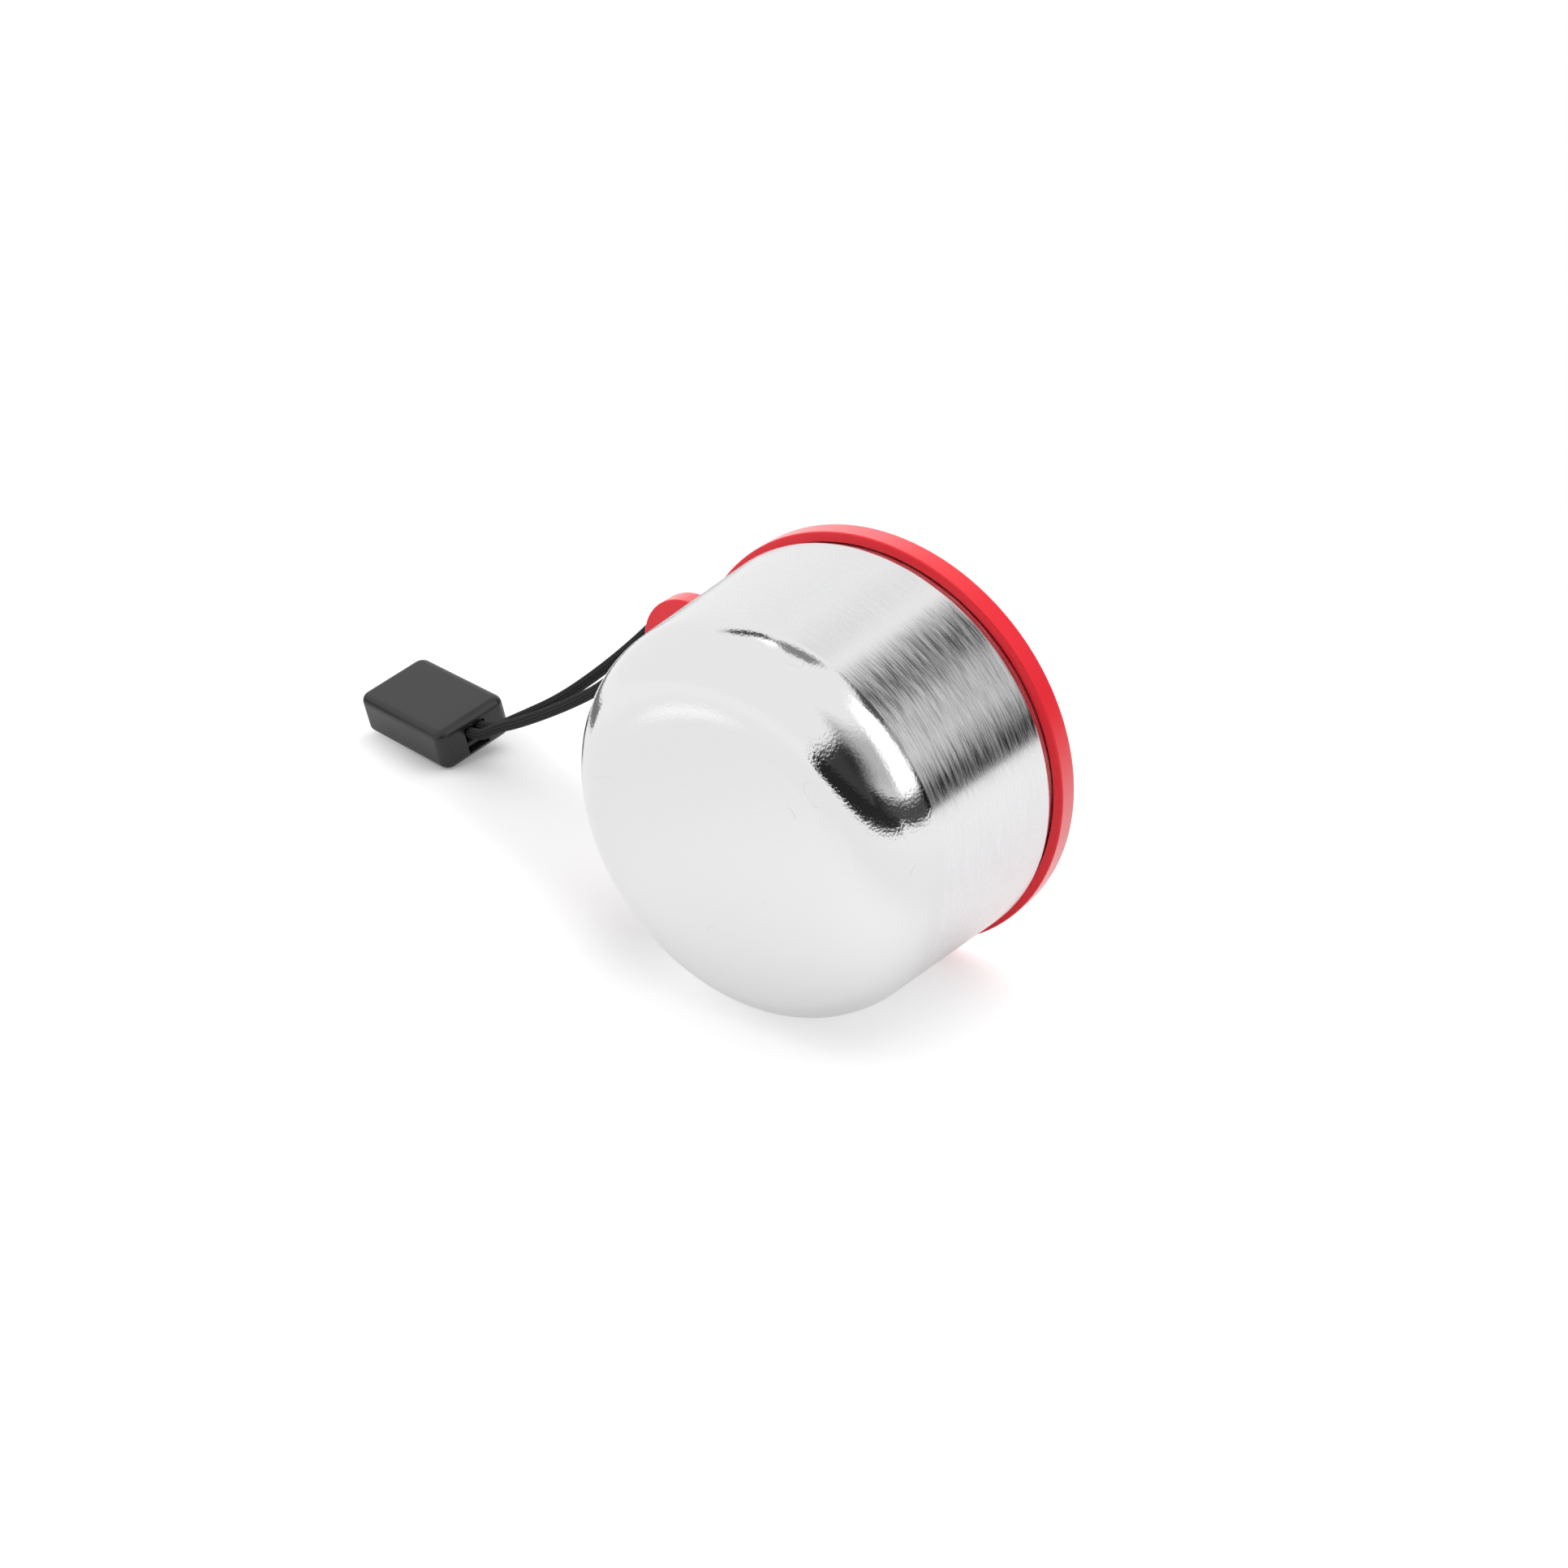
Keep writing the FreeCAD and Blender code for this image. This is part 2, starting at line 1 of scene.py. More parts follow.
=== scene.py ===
import json
import math
import bpy
import numpy as np
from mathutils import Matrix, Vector


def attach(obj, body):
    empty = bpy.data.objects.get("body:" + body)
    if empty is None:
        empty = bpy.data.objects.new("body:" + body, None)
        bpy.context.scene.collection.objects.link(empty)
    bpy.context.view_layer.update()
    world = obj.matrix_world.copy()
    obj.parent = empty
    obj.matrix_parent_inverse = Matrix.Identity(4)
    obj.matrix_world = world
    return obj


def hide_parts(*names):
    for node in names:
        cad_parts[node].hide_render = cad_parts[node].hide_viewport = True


# A round steel lunch container lies on its side on a white studio floor. Its red lid faces away, and a
# black cord loop leads from the lid's ear to a grey tag on the floor. The scene is in metres.
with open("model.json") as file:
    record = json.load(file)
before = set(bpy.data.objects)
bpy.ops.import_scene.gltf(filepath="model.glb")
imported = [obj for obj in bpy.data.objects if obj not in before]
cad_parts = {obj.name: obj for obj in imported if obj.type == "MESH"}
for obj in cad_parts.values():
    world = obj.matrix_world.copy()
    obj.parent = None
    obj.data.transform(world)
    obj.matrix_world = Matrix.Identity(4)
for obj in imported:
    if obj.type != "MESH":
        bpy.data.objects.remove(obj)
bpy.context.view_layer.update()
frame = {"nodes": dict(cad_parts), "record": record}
scene = bpy.context.scene
scene.view_settings.view_transform = "Standard"

# Container: one cup drawn from stainless sheet. Its base and the big corner round it are polished to a
# mirror, its wall is brushed round and round, and its neck goes into the lid. The profile below is in
# millimetres from the middle of the base, and is turned about the container's axis.
MM = 0.001
STEEL_THICKNESS = 0.6
FOOT_RADIUS = 42.7
SHOULDER_RADIUS = 45.7
NECK_RADIUS = 44.6
SHOULDER_HEIGHT = 48.2
NECK_HEIGHT = 49.6
RIM_HEIGHT = 54.2
EASE_RADIUS = 40.0
EASE_ANGLE = math.radians(8)
EASE_STRAIGHT = 0.3
CORNER_RADIUS = 13.5
INNER_CORNER = 13.9
SHOULDER_ROUND = 1.5
RIM_ROUND = 0.2
STEEL_SEGMENTS = 360
ARC_STEP = math.radians(3)
WRAP_LENGTH = 100
base_mount = next(mount for mount in frame["record"]["mounts"] if mount["name"] == "base")
base_centre = np.array(base_mount["pos_m"])
lid_way = -np.array(base_mount["axis"])
sideways = np.array((1.0, 0.0, 0.0))
upright = np.cross(sideways, lid_way)


def rounded_profile(corners):
    """Points and outward normals of a lathe profile. A corner is (radius, height, rounding)."""
    places = [np.array(corner[:2], float) for corner in corners]
    points = []
    normals = []

    def add(point, normal):
        points.append(point)
        normals.append(normal)

    def way_between(start, end):
        return (end - start) / np.linalg.norm(end - start)

    def outward_of(way):
        return np.array((way[1], -way[0]))

    add(places[0], outward_of(way_between(places[0], places[1])))
    for before, here, after, (_, _, rounding) in zip(places, places[1:], places[2:], corners[1:]):
        way_in = way_between(before, here)
        way_out = way_between(here, after)
        bend = math.atan2(way_in[0] * way_out[1] - way_in[1] * way_out[0], way_in @ way_out)
        side = math.copysign(1, bend)
        start = outward_of(way_in)
        centre = here - way_in * rounding * math.tan(abs(bend) / 2) - start * side * rounding
        count = max(2, math.ceil(abs(bend) / ARC_STEP))
        for k in range(count + 1):
            cosine = math.cos(bend * k / count)
            sine = math.sin(bend * k / count)
            normal = np.array((cosine * start[0] - sine * start[1], sine * start[0] + cosine * start[1]))
            add(centre + normal * side * rounding, normal)
    add(places[-1], outward_of(way_between(places[-2], places[-1])))
    return np.array(points), np.array(normals)


def lathe(name, corners, segments):
    """Turn a profile about the container's axis, laid on its side as the container lies."""
    points, normals = rounded_profile(corners)
    travelled = np.concatenate(([0], np.cumsum(np.linalg.norm(np.diff(points, axis=0), axis=1))))
    vertices = []
    facing = []
    rings = []
    for (radius, height), (outwards, along_axis) in zip(points, normals):
        ring = []
        for k in range(segments if radius > 0 else 1):
            turn = 2 * math.pi * k / segments
            spoke = math.cos(turn) * sideways + math.sin(turn) * upright
            ring.append(len(vertices))
            vertices.append(base_centre + MM * (radius * spoke + height * lid_way))
            facing.append(outwards * spoke + along_axis * lid_way)
        rings.append(ring)
    faces = []
    wrap = []
    for row, (ring, following) in enumerate(zip(rings, rings[1:])):
        for k in range(segments):
            quad = ((ring, k, row), (following, k, row + 1), (following, k + 1, row + 1), (ring, k + 1, row))
            face = [loop[column % len(loop)] for loop, column, _ in quad]
            kept = [n for n in range(len(face)) if face[n] != face[n - 1]]
            faces.append([face[n] for n in kept])
            wrap += [(quad[n][1] / segments, travelled[quad[n][2]] / WRAP_LENGTH) for n in kept]
    mesh = bpy.data.meshes.new(name)
    mesh.from_pydata(vertices, [], faces)
    mesh.uv_layers.new(name="wrap").data.foreach_set("uv", np.array(wrap).ravel())
    mesh.shade_smooth()
    mesh.normals_split_custom_set_from_vertices(facing)
    piece = bpy.data.objects.new(name, mesh)
    scene.collection.objects.link(piece)
    return piece


# The flat base eases up over a wide radius before the tighter corner begins.
wall_slope = (SHOULDER_RADIUS - FOOT_RADIUS) / SHOULDER_HEIGHT
corner_bend = math.pi / 2 - math.atan(wall_slope) - EASE_ANGLE
ease_reach = EASE_RADIUS * math.tan(EASE_ANGLE / 2)
corner_reach = CORNER_RADIUS * math.tan(corner_bend / 2)
ease_length = EASE_STRAIGHT + ease_reach + corner_reach
heel_height = ease_length * math.sin(EASE_ANGLE)
heel_radius = FOOT_RADIUS + wall_slope * heel_height
steel = lathe("drawn_steel_cup", (
    (0, 0, 0),
    (heel_radius - ease_length * math.cos(EASE_ANGLE), 0, EASE_RADIUS),
    (heel_radius, heel_height, CORNER_RADIUS),
    (SHOULDER_RADIUS, SHOULDER_HEIGHT, SHOULDER_ROUND),
    (NECK_RADIUS, NECK_HEIGHT, SHOULDER_ROUND / 2),
    (NECK_RADIUS, RIM_HEIGHT, RIM_ROUND),
    (NECK_RADIUS - STEEL_THICKNESS, RIM_HEIGHT, RIM_ROUND),
    (NECK_RADIUS - STEEL_THICKNESS, NECK_HEIGHT, SHOULDER_ROUND / 2),
    (SHOULDER_RADIUS - STEEL_THICKNESS, SHOULDER_HEIGHT, SHOULDER_ROUND / 2),
    (FOOT_RADIUS - STEEL_THICKNESS, STEEL_THICKNESS, INNER_CORNER),
    (0, STEEL_THICKNESS, 0),
), STEEL_SEGMENTS)


class Wire:
    """A socket of a node tree: sums on it add Math nodes, and node() adds any other node."""

    def __init__(self, tree, socket=None):
        self.tree = tree
        self.socket = socket

    def __getitem__(self, name):
        return Wire(self.tree, self.socket.node.outputs[name])

    def node(self, kind, settings=None, sockets=None):
        """Add a node, set its properties, feed its sockets, and give its first output in use."""
        made = self.tree.nodes.new(kind)
        for name, value in (settings or {}).items():
            setattr(made, name, value)
        for key, value in (sockets or {}).items():
            if isinstance(value, Wire):
                self.tree.links.new(value.socket, made.inputs[key])
            else:
                made.inputs[key].default_value = value
        return Wire(self.tree, next((out for out in made.outputs if out.enabled), None))

    def math(self, operation, *others):
        return self.node("ShaderNodeMath", {"operation": operation}, dict(enumerate((self,) + others)))

    def vector(self, operation, other):
        return self.node("ShaderNodeVectorMath", {"operation": operation}, {0: self, 1: other})

    def ramp(self, low, high, start=0.0, end=1.0):
        """Goes smoothly from start to end as this value goes from low to high."""
        return self.node("ShaderNodeMapRange", {"interpolation_type": "SMOOTHSTEP"},
                         {0: self, 1: low, 2: high, 3: start, 4: end})

    def noise(self, scale, detail):
        """Noise over this place."""
        return self.node("ShaderNodeTexNoise", None,
                         {"Vector": self, "Scale": scale, "Detail": detail})["Fac"]

    def bump(self, strength, distance):
        """A normal that follows this height."""
        return self.node("ShaderNodeBump", None,
                         {"Strength": strength, "Distance": distance, "Height": self})

    def grey(self, blue):
        """A grey of this tone, its blue multiplied."""
        return self.node("ShaderNodeCombineColor", None, {0: self, 1: self, 2: self * blue})

    def blend(self, first, second):
        """A colour between two. The Mix node's colours are inputs 6 and 7 and output 2."""
        mix = self.node("ShaderNodeMix", {"data_type": "RGBA"}, {"Factor": self, 6: first, 7: second})
        return Wire(self.tree, mix.socket.node.outputs[2])

    def __add__(self, other):
        return self.math("ADD", other)

    def __sub__(self, other):
        return self.math("SUBTRACT", other)

    def __rsub__(self, other):
        return self.node("ShaderNodeMath", {"operation": "SUBTRACT"}, {0: other, 1: self})

    def __mul__(self, other):
        return self.math("MULTIPLY", other)

    def __truediv__(self, other):
        return self.math("DIVIDE", other)

    def __pow__(self, other):
        return self.math("POWER", other)

    __radd__ = __add__
    __rmul__ = __mul__


def new_finish(name):
    """An empty material, and a wire to build its nodes with."""
    material = bpy.data.materials.new(name)
    material.use_nodes = True
    material.node_tree.nodes.clear()
    return material, Wire(material.node_tree)


def surface(wire, shader):
    """Make this shader what the material shows."""
    wire.node("ShaderNodeOutputMaterial", None, {"Surface": shader})


POLISH_EDGE = 13.3 * MM
POLISH_EDGE_BLUR = 0.25 * MM
POLISH_EDGE_WANDER = 0.5 * MM
FINE_LINES_PER_MM = 5.6
FINE_LINE_LENGTH = 6.0 * MM
COARSE_LINES_PER_MM = 0.8
COARSE_LINE_LENGTH = 14.0 * MM
COARSE_SHARE = 0.07
NOISE_SPREAD = (0.3, 0.7)
BRUSHED_TONE = (0.80, 0.89)
BRUSHED_SPREAD = (0.34, 0.66)
BRUSHED_ROUGHNESS = (0.12, 0.31)
POLISHED_TONE = 0.82
SMUDGE_SPREAD = (0.3, 0.75)
POLISHED_ROUGHNESS = (0.05, 0.10)
HAIRLINE_WIDTH = 0.006
HAIRLINE_PATCHES = (0.63, 0.68)
HAIRLINE_DARKENING = 0.12
HAIRLINE_ROUGHENING = 0.2
steel_finish, wire = new_finish("polished_and_brushed_steel")
spot = wire.node("ShaderNodeTexCoord")["Object"]
from_base = spot.vector("SUBTRACT", tuple(base_centre))
on_axis = from_base.vector("DOT_PRODUCT", tuple(lid_way))["Value"]


def brush_lines(lines_per_mm, length, detail):
    """Noise drawn out into lines that run round the axis."""
    stretched = wire.node("ShaderNodeVectorMath", {"operation": "SCALE"},
                          {"Vector": from_base, "Scale": 1 / length})
    split = wire.node("ShaderNodeSeparateXYZ", None, {"Vector": stretched})
    packed = wire.node("ShaderNodeCombineXYZ", None, {
        "X": split["X"], "Y": on_axis * (lines_per_mm / MM), "Z": split["Z"]})
    return packed.noise(scale=1.0, detail=detail)


fine_lines = brush_lines(FINE_LINES_PER_MM, FINE_LINE_LENGTH, detail=3.0)
coarse_lines = brush_lines(COARSE_LINES_PER_MM, COARSE_LINE_LENGTH, detail=2.0)
lines = (1 - COARSE_SHARE) * fine_lines + COARSE_SHARE * coarse_lines
brushed = wire.node("ShaderNodeBsdfPrincipled", None, {
    "Base Color": lines.ramp(*NOISE_SPREAD, *BRUSHED_TONE).grey(blue=1.01),
    "Metallic": 1.0,
    "Roughness": lines.ramp(*BRUSHED_SPREAD, *BRUSHED_ROUGHNESS),
    "Anisotropic": 0.7,
    "Anisotropic Rotation": 0.25,
    "Tangent": wire.node("ShaderNodeTangent", {"direction_type": "UV_MAP", "uv_map": "wrap"}),
    "Normal": lines.bump(strength=0.5, distance=0.03 * MM)})
smudge = spot.noise(scale=60.0, detail=4.0)
ripple = spot.noise(scale=1700.0, detail=2.0)
wander = spot.noise(scale=95.0, detail=1.0)
patches = spot.noise(scale=75.0, detail=2.0)
off_hairline = (wander - 0.5).math("ABSOLUTE").ramp(0.0, HAIRLINE_WIDTH)
hairline = (1 - off_hairline) * patches.ramp(*HAIRLINE_PATCHES)
polished = wire.node("ShaderNodeBsdfPrincipled", None, {
    "Base Color": (POLISHED_TONE - HAIRLINE_DARKENING * hairline).grey(blue=1.005),
    "Metallic": 1.0,
    "Roughness": smudge.ramp(*SMUDGE_SPREAD, *POLISHED_ROUGHNESS) + HAIRLINE_ROUGHENING * hairline,
    "Normal": ripple.bump(strength=1.0, distance=0.025 * MM)})
uneven_height = on_axis + (coarse_lines - 0.5) * POLISH_EDGE_WANDER
brushed_share = uneven_height.ramp(POLISH_EDGE - POLISH_EDGE_BLUR, POLISH_EDGE + POLISH_EDGE_BLUR)
surface(wire, wire.node("ShaderNodeMixShader", None, {0: brushed_share, 1: polished, 2: brushed}))
steel.data.materials.append(steel_finish)
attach(steel, "container")
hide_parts("steel_body")

# Lid: one red moulding with a satin skin that pales where it is seen edge-on. Its skirt goes over the
# neck, and the ear that carries the cord grows out of its side.
LID_REDS = ((0.95, 0.009, 0.025, 1), (0.98, 0.013, 0.031, 1))
LID_SPREAD = (0.25, 0.75)
LID_ROUGHNESS = (0.28, 0.38)
LID_EDGE_ON = (0.40, 0.58)
lid_finish, wire = new_finish("red_plastic")
spot = wire.node("ShaderNodeTexCoord")["Object"]
cloud = spot.noise(scale=45.0, detail=3.0)
grain = spot.noise(scale=2600.0, detail=2.0)
edge_on = wire.node("ShaderNodeLayerWeight", None, {"Blend": 0.5})["Facing"]
surface(wire, wire.node("ShaderNodeBsdfPrincipled", None, {
    "Base Color": cloud.ramp(*NOISE_SPREAD).blend(*LID_REDS),
    "Roughness": cloud.ramp(*LID_SPREAD, *LID_ROUGHNESS),
    "Normal": grain.bump(strength=0.12, distance=0.02 * MM),
    "Coat Weight": edge_on.ramp(*LID_EDGE_ON),
    "Coat Roughness": 0.3,
    "Coat IOR": 1.7}))


def dress(node, finish):
    """Give a carried-over node this finish in place of its plain one."""
    materials = frame["nodes"][node].data.materials
    materials.clear()
    materials.append(finish)


dress("lid_shell", lid_finish)

# Gasket: a soft ring of milky silicone. It is moulded on its own and pressed into the groove inside the
# lid, where the neck goes in, and it is seen only when the lid is off.
GASKET_TONE = (0.62, 0.72)
GASKET_ROUGHNESS = (0.4, 0.5)
gasket_finish, wire = new_finish("milky_silicone")
bloom = wire.node("ShaderNodeTexCoord")["Object"].noise(scale=300.0, detail=2.0)
surface(wire, wire.node("ShaderNodeBsdfPrincipled", None, {
    "Base Color": bloom.ramp(*NOISE_SPREAD, *GASKET_TONE).grey(blue=0.98),
    "Roughness": bloom.ramp(*NOISE_SPREAD, *GASKET_ROUGHNESS)}))
dress("lid_gasket", gasket_finish)

# Cord: a limp round braid of black polyester yarn. One length of it is folded through the hole in the
# lid's ear, and both ends are trapped in the tag. The yarns are laid over and under along a spline, whose
# points are in millimetres.
CORD_DIAMETER = 2.8 * MM
YARNS_EACH_WAY = 12
YARN_STEP = 0.8 * MM
YARN_RELIEF = 0.32 * MM
# Painted shade and highlight on the braid: the darker colour sits in the gaps between yarns, the lighter one
# on their crowns.
YARN_PAINTED_SHADE_AND_HIGHLIGHT = ((0.001, 0.001, 0.0012, 1), (0.050, 0.050, 0.053, 1))
YARN_LIT_HEIGHTS = (0.45, 1.0)
FIBRES_IN_YARN = 46.0
CORD_SIDES = 60
CORD_RINGS = 1550
CORD_ROUTE = (
    (-134.33, 39.71, 8.39),
    (-123.86, 38.07, 7.98),
    (-115.0, 36.0, 13.8),
    (-104.2, 32.9, 19.0),
    (-86.3, 28.1, 29.0),
    (-70.7, 23.9, 38.8),
    (-62.3, 21.3, 45.6),
    (-54.8, 19.5, 52.8),
    (-46.9, 19.3, 57.0),
    (-44.4, 23.7, 56.9),
    (-46.8, 27.9, 57.8),
    (-54.3, 28.0, 59.2),
    (-63.3, 29.8, 50.8),
    (-76.4, 32.4, 39.7),
    (-93.1, 35.7, 27.0),
    (-109.8, 38.9, 16.9),
    (-123.35, 41.13, 8.79),
    (-133.82, 42.77, 9.20),
)
cord_line = bpy.data.curves.new("cord_line", "CURVE")
cord_line.dimensions = "3D"
spline = cord_line.splines.new("NURBS")
spline.points.add(len(CORD_ROUTE) - 1)
for point, place in zip(spline.points, CORD_ROUTE):
    point.co = (*(Vector(place) * MM), 1)
spline.order_u = 3
spline.use_endpoint_u = True
spline.resolution_u = 24
cord_rail = bpy.data.objects.new("cord_rail", cord_line)
scene.collection.objects.link(cord_rail)


def evaluated_mesh(thing):
    """The mesh that an object's curve or modifiers make now."""
    return bpy.data.meshes.new_from_object(thing.evaluated_get(bpy.context.evaluated_depsgraph_get()))


cord_path = [tuple(vertex.co) for vertex in evaluated_mesh(cord_rail).vertices]

cord_finish, wire = new_finish("black_braid")
yarn = wire.node("ShaderNodeAttribute", {"attribute_name": "yarn_height"})["Fac"]
across = wire.node("ShaderNodeAttribute", {"attribute_name": "yarn_across"})["Fac"]
fibres = wire.node("ShaderNodeTexNoise", {"noise_dimensions": "1D"},
                   {"W": across * FIBRES_IN_YARN, "Detail": 2.0})["Fac"]
# Painted shade and highlight: the yarns' colour is darkest where they dip between one another and lightest
# on their crowns, as light and shade would fall on the braid.
lit_yarn = yarn.ramp(*YARN_LIT_HEIGHTS) * (0.7 + 0.6 * fibres)
surface(wire, wire.node("ShaderNodeBsdfPrincipled", None, {
    "Base Color": lit_yarn.blend(*YARN_PAINTED_SHADE_AND_HIGHLIGHT),
    "Roughness": 0.9 - 0.28 * yarn,
    "Normal": fibres.bump(strength=0.35, distance=0.05 * MM),
    "Specular IOR Level": 0.3}))

# Each yarn floats over two that cross it and then under two. Lanes are counted from well above nought, so
# that the remainders stay positive.
LANES_IN_REPEAT = 4.0
LANES_OVER = 2.0
FIRST_LANE = 400.0
braid = bpy.data.node_groups.new("braided_cord", "GeometryNodeTree")
braid.interface.new_socket("Rail", in_out="INPUT", socket_type="NodeSocketGeometry")
braid_sizes = (
    ("Diameter", "NodeSocketFloat", CORD_DIAMETER),
    ("Yarns each way", "NodeSocketFloat", float(YARNS_EACH_WAY)),
    ("Yarn step", "NodeSocketFloat", YARN_STEP),
    ("Relief", "NodeSocketFloat", YARN_RELIEF),
    ("Sides", "NodeSocketInt", CORD_SIDES),
    ("Rings", "NodeSocketInt", CORD_RINGS),
)
braid_inputs = {}
for name, kind, _ in braid_sizes:
    braid_inputs[name] = braid.interface.new_socket(name, in_out="INPUT", socket_type=kind).identifier
braid.interface.new_socket("Cord", in_out="OUTPUT", socket_type="NodeSocketGeometry")
wire = Wire(braid)


def store(geometry, name, value):
    """Keep a number on each point of a curve or mesh."""
    return wire.node("GeometryNodeStoreNamedAttribute", {"data_type": "FLOAT", "domain": "POINT"},
                     {"Geometry": geometry, "Name": name, "Value": value})


def stored(name):
    """A number kept on each point."""
    return wire.node("GeometryNodeInputNamedAttribute", {"data_type": "FLOAT"}, {"Name": name})


def yarn_crown(lane, float_along):
    """Height of a yarn: round across its lane, and dipping where it goes under at the ends of its float."""
    crown = (lane.math("FRACT") * math.pi).math("SINE").math("MAXIMUM", 0.0) ** 0.5
    dip = (float_along * (math.pi / LANES_OVER)).math("SINE").math("MAXIMUM", 0.0) ** 0.35
    return crown * dip


sizes = wire.node("NodeGroupInput")
rail = wire.node("GeometryNodeResampleCurve", None, {"Curve": sizes, "Count": sizes["Rings"]})
rail = store(rail, "cord_along", wire.node("GeometryNodeSplineParameter")["Length"])
ring = wire.node("GeometryNodeCurvePrimitiveCircle", None,
                 {"Resolution": sizes["Sides"], "Radius": sizes["Diameter"] / 2})
ring = store(ring, "cord_around", wire.node("GeometryNodeSplineParameter")["Factor"])
tube = wire.node("GeometryNodeCurveToMesh", None, {"Curve": rail, "Profile Curve": ring, "Fill Caps": True})
lane = stored("cord_around") * sizes["Yarns each way"]
step = stored("cord_along") / sizes["Yarn step"] + FIRST_LANE
right_lane = lane + step
left_lane = lane - step + 2 * FIRST_LANE
right_index = right_lane.math("FLOOR")
left_index = left_lane.math("FLOOR")
right_on_top = (right_index + left_index).math("MODULO", LANES_IN_REPEAT).math("LESS_THAN", LANES_OVER)
right_crown = yarn_crown(right_lane, (left_lane + right_index).math("MODULO", LANES_IN_REPEAT))
left_crown = yarn_crown(left_lane, (right_lane + left_index).math("MODULO", LANES_IN_REPEAT) - LANES_OVER)
crown = right_crown * right_on_top + left_crown * (1 - right_on_top)
lane_across = right_lane.math("FRACT") * right_on_top + left_lane.math("FRACT") * (1 - right_on_top)
tube = store(tube, "yarn_height", crown)
tube = store(tube, "yarn_across", lane_across)
sink = wire.node("ShaderNodeVectorMath", {"operation": "SCALE"}, {
    "Vector": wire.node("GeometryNodeInputNormal"),
    "Scale": (stored("yarn_height") - 1.0) * sizes["Relief"]})
tube = wire.node("GeometryNodeSetPosition", None, {"Geometry": tube, "Offset": sink})
tube = wire.node("GeometryNodeSetShadeSmooth", None, {"Geometry": tube, "Shade Smooth": True})
tube = wire.node("GeometryNodeRealizeInstances", None, {"Geometry": tube})
tube = wire.node("GeometryNodeSetMaterial", None, {"Geometry": tube, "Material": cord_finish})
wire.node("NodeGroupOutput", None, {"Cord": tube})

modifier = cord_rail.modifiers.new("braid", "NODES")
modifier.node_group = braid
for name, _, value in braid_sizes:
    modifier[braid_inputs[name]] = value
cord = bpy.data.objects.new("braided_cord", evaluated_mesh(cord_rail))
scene.collection.objects.link(cord)
bpy.data.objects.remove(cord_rail)
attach(cord, "lid")
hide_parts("cord")

# Tag: a solid moulding in charcoal plastic with a fine matt grain, which holds the cord's ends in its
# slot. The crossbar in the slot is the same plastic.
TAG_TONE = (0.013, 0.018)
TAG_ROUGHNESS = (0.28, 0.36)
tag_finish, wire = new_finish("charcoal_plastic")
spot = wire.node("ShaderNodeTexCoord")["Object"]
grain = spot.noise(scale=2200.0, detail=3.0)
cloud = spot.noise(scale=120.0, detail=3.0)
surface(wire, wire.node("ShaderNodeBsdfPrincipled", None, {
    "Base Color": cloud.ramp(*NOISE_SPREAD, *TAG_TONE).grey(blue=1.04),
    "Roughness": cloud.ramp(*NOISE_SPREAD, *TAG_ROUGHNESS),
    "Normal": grain.bump(strength=0.25, distance=0.03 * MM)}))
dress("tag_body", tag_finish)
dress("tag_pin", tag_finish)

# Floor: white paper that fades into a white room. It glows a little for the camera, less in a painted shade
# left of the container, where the glow is turned down in place of the container's shadow. For mirror rays it
# has painted light too: in the steel its glow is strongest next to where the container touches it, and in a
# small patch at the left, and these show in the steel as painted reflections.
FLOOR_HALF = 4.0
PAPER_COLOUR = (0.75, 0.75, 0.755, 1)
WHITE = (1, 1, 1, 1)
PAPER_GLOW = 0.48
PAINTED_SHADE_DEPTH = 0.29
PAINTED_SHADE_SLANT = 0.35
# Painted reflection: where the paper glows for mirror rays alone, in a small patch at the left and next to
# where the container touches it.
PATCH_PLACE = (-0.105, -0.15, 0.0)
PAINTED_PATCH_GLOW = 0.22
PATCH_REACH = (0.008, 0.035)
CONTACT_PLACE = (0.01, -0.03, 0.0)
PAINTED_CONTACT_GLOW = (0.32, 0.16)
CONTACT_REACH = (0.02, 0.11)
FADE_REACH = (0.12, 0.34)
floor_mesh = bpy.data.meshes.new("paper_floor")
floor_mesh.from_pydata([(-FLOOR_HALF, -FLOOR_HALF, 0), (FLOOR_HALF, -FLOOR_HALF, 0),
                        (FLOOR_HALF, FLOOR_HALF, 0), (-FLOOR_HALF, FLOOR_HALF, 0)], [], [(0, 1, 2, 3)])
floor = bpy.data.objects.new("paper_floor", floor_mesh)
scene.collection.objects.link(floor)
floor_finish, wire = new_finish("white_paper")
spot = wire.node("ShaderNodeTexCoord")["Object"]
from_middle = spot.vector("DISTANCE", (0.0, 0.0, 0.0))["Value"]
from_patch = spot.vector("DISTANCE", PATCH_PLACE)["Value"]
from_contact = spot.vector("DISTANCE", CONTACT_PLACE)["Value"]
paper_way = wire.node("ShaderNodeSeparateXYZ", None, {"Vector": spot})
# Painted shade: a soft slanting band left of the container where the camera glow is turned down, standing in
# for the container's shadow.
slant = paper_way["Y"] + PAINTED_SHADE_SLANT * paper_way["X"]
painted_shade_across = slant.ramp(-0.046, -0.016) * (1 - slant.ramp(0.005, 0.035))
painted_shade_along = paper_way["X"].ramp(-0.175, -0.135) * (1 - paper_way["X"].ramp(-0.04, -0.01))
seen_glow = PAPER_GLOW - PAINTED_SHADE_DEPTH * painted_shade_across * painted_shade_along
